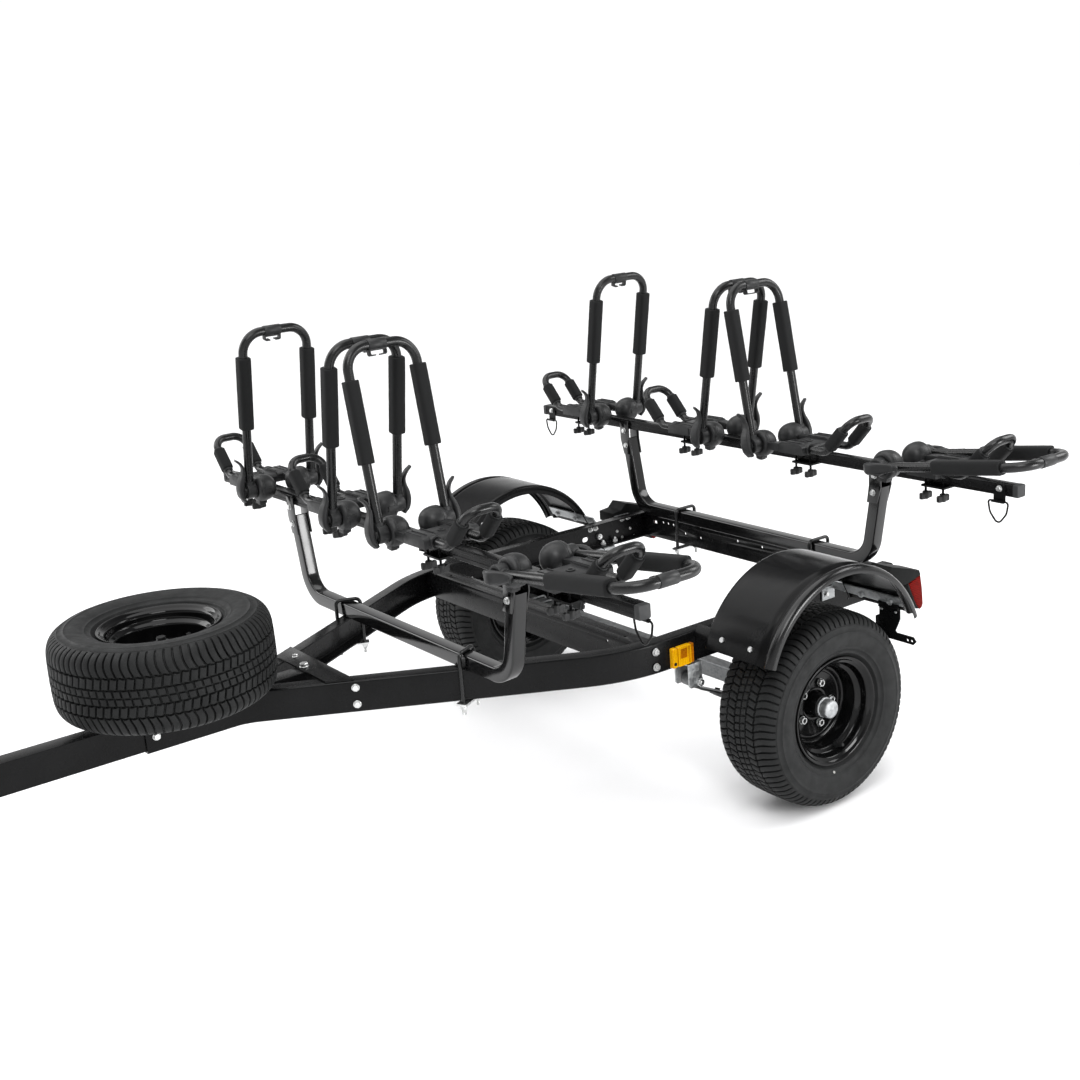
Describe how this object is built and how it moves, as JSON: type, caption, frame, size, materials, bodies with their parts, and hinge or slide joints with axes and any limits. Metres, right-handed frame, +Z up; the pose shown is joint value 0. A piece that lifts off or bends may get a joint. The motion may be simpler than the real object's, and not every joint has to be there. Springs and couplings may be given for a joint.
{
  "type": "kayak trailer",
  "caption": "Light two-wheel trailer with leaf springs, two raised load bars, folding hoop carriers for kayaks, a flat-mounted spare wheel, a jack wheel and a ball coupler.",
  "frame": {"origin": "on the ground, under the middle of the trailer's outline", "axes": "+X towards the coupler, +Y to the trailer's left, +Z up"},
  "size_m": [3.6801, 2.0783, 1.2796],
  "materials": {
    "black_powder_coat": "satin",
    "black_satin_steel": "satin",
    "galvanised_steel": "satin",
    "zinc_plated_steel": "gloss",
    "tyre_rubber": "matte",
    "gloss_black_wheel": "gloss",
    "black_moulded_plastic": "matte",
    "black_hoop_tube": "gloss",
    "tail_lamp_black_red": "gloss"
  },
  "bodies": {
    "frame": {"axle_beam": "galvanised_steel", "carrier_base_front_1": "black_moulded_plastic", "carrier_base_front_2": "black_moulded_plastic", "carrier_base_front_3": "black_moulded_plastic", "carrier_base_front_4": "black_moulded_plastic", "carrier_base_rear_1": "black_moulded_plastic", "carrier_base_rear_2": "black_moulded_plastic", "carrier_base_rear_3": "black_moulded_plastic", "carrier_base_rear_4": "black_moulded_plastic", "coupler_housing": "zinc_plated_steel", "fender_bracket_front_left": "black_powder_coat", "fender_bracket_front_right": "black_powder_coat", "fender_bracket_rear_left": "galvanised_steel", "fender_bracket_rear_right": "galvanised_steel", "fender_left": "black_powder_coat", "fender_right": "black_powder_coat", "frame_rail_left": "black_powder_coat", "frame_rail_right": "black_powder_coat", "front_crossmember": "black_powder_coat", "leaf_spring_left": "galvanised_steel", "leaf_spring_right": "galvanised_steel", "load_bar_front": "black_powder_coat", "load_bar_rear": "black_powder_coat", "rear_crossmember": "black_powder_coat", "riser_bar_front": "black_powder_coat", "riser_bar_rear": "black_powder_coat", "spare_carrier": "black_satin_steel", "spare_rim": "gloss_black_wheel", "spare_tyre": "tyre_rubber", "spring_hanger_front_left": "galvanised_steel", "spring_hanger_front_right": "galvanised_steel", "spring_hanger_rear_left": "galvanised_steel", "spring_hanger_rear_right": "galvanised_steel", "tail_lamp_left": "tail_lamp_black_red", "tail_lamp_right": "tail_lamp_black_red", "tongue_gusset": "black_powder_coat", "tongue_tube": "black_powder_coat", "u_bolt_front_left": "zinc_plated_steel", "u_bolt_front_right": "zinc_plated_steel", "u_bolt_rear_left": "zinc_plated_steel", "u_bolt_rear_right": "zinc_plated_steel"},
    "wheel_left": {"tyre_left": "tyre_rubber", "rim_left": "gloss_black_wheel", "hub_left": "galvanised_steel"},
    "wheel_right": {"tyre_right": "tyre_rubber", "rim_right": "gloss_black_wheel", "hub_right": "galvanised_steel"},
    "latch": {"coupler_latch": "zinc_plated_steel"},
    "jack": {"jack_outer_tube": "zinc_plated_steel"},
    "jack_leg": {"jack_inner_leg": "zinc_plated_steel"},
    "jack_wheel": {"jack_wheel": "tyre_rubber"},
    "jack_handle": {"jack_clamp_handle": "zinc_plated_steel"},
    "arm_front_1": {"carrier_arm_front_1": "black_hoop_tube"},
    "arm_front_2": {"carrier_arm_front_2": "black_hoop_tube"},
    "arm_front_3": {"carrier_arm_front_3": "black_hoop_tube"},
    "arm_front_4": {"carrier_arm_front_4": "black_hoop_tube"},
    "arm_rear_1": {"carrier_arm_rear_1": "black_hoop_tube"},
    "arm_rear_2": {"carrier_arm_rear_2": "black_hoop_tube"},
    "arm_rear_3": {"carrier_arm_rear_3": "black_hoop_tube"},
    "arm_rear_4": {"carrier_arm_rear_4": "black_hoop_tube"}
  },
  "joints": [
    {"name": "wheel_left_spin", "type": "hinge", "parent": "frame", "child": "wheel_left", "pos_m": [-1.2597, 0.6244, 0.2594], "axis": [0, 1, 0], "continuous": true},
    {"name": "wheel_right_spin", "type": "hinge", "parent": "frame", "child": "wheel_right", "pos_m": [-1.2597, -0.7216, 0.2594], "axis": [0, 1, 0], "continuous": true},
    {"name": "latch_lift", "type": "hinge", "parent": "frame", "child": "latch", "pos_m": [1.7203, -0.0486, 0.5123], "axis": [0, 1, 0], "range_deg": [0, 55]},
    {"name": "jack_swivel", "type": "hinge", "parent": "frame", "child": "jack", "pos_m": [1.0903, -0.0109, 0.452], "axis": [0, 1, 0], "range_deg": [0, 90]},
    {"name": "jack_leg_slide", "type": "slide", "parent": "jack", "child": "jack_leg", "axis": [0, 0, 1], "range_m": [-0.1, 0.112]},
    {"name": "jack_wheel_spin", "type": "hinge", "parent": "jack_leg", "child": "jack_wheel", "pos_m": [1.0903, 0.0314, 0.07727], "axis": [0, 1, 0], "continuous": true},
    {"name": "jack_handle_turn", "type": "hinge", "parent": "jack", "child": "jack_handle", "pos_m": [1.1403, 0.0314, 0.552], "axis": [1, 0, 0], "continuous": true},
    {"name": "arm_front_1_fold", "type": "hinge", "parent": "frame", "child": "arm_front_1", "pos_m": [-0.4577, -0.6756, 0.815], "axis": [1, 0, 0], "range_deg": [0, 92.9]},
    {"name": "arm_front_2_fold", "type": "hinge", "parent": "frame", "child": "arm_front_2", "pos_m": [-0.4577, -0.1846, 0.815], "axis": [1, 0, 0], "range_deg": [0, 92.9]},
    {"name": "arm_front_3_fold", "type": "hinge", "parent": "frame", "child": "arm_front_3", "pos_m": [-0.4577, 0.0584, 0.815], "axis": [1, 0, 0], "range_deg": [-92.9, 0]},
    {"name": "arm_front_4_fold", "type": "hinge", "parent": "frame", "child": "arm_front_4", "pos_m": [-0.4577, 0.5714, 0.815], "axis": [1, 0, 0], "range_deg": [0, 92.9]},
    {"name": "arm_rear_1_fold", "type": "hinge", "parent": "frame", "child": "arm_rear_1", "pos_m": [-1.6897, -0.6641, 0.815], "axis": [1, 0, 0], "range_deg": [0, 92.9]},
    {"name": "arm_rear_2_fold", "type": "hinge", "parent": "frame", "child": "arm_rear_2", "pos_m": [-1.6897, -0.1216, 0.815], "axis": [1, 0, 0], "range_deg": [0, 92.9]},
    {"name": "arm_rear_3_fold", "type": "hinge", "parent": "frame", "child": "arm_rear_3", "pos_m": [-1.6897, 0.0984, 0.815], "axis": [1, 0, 0], "range_deg": [-92.9, 0]},
    {"name": "arm_rear_4_fold", "type": "hinge", "parent": "frame", "child": "arm_rear_4", "pos_m": [-1.6897, 0.5649, 0.815], "axis": [1, 0, 0], "range_deg": [0, 92.9]}
  ]
}
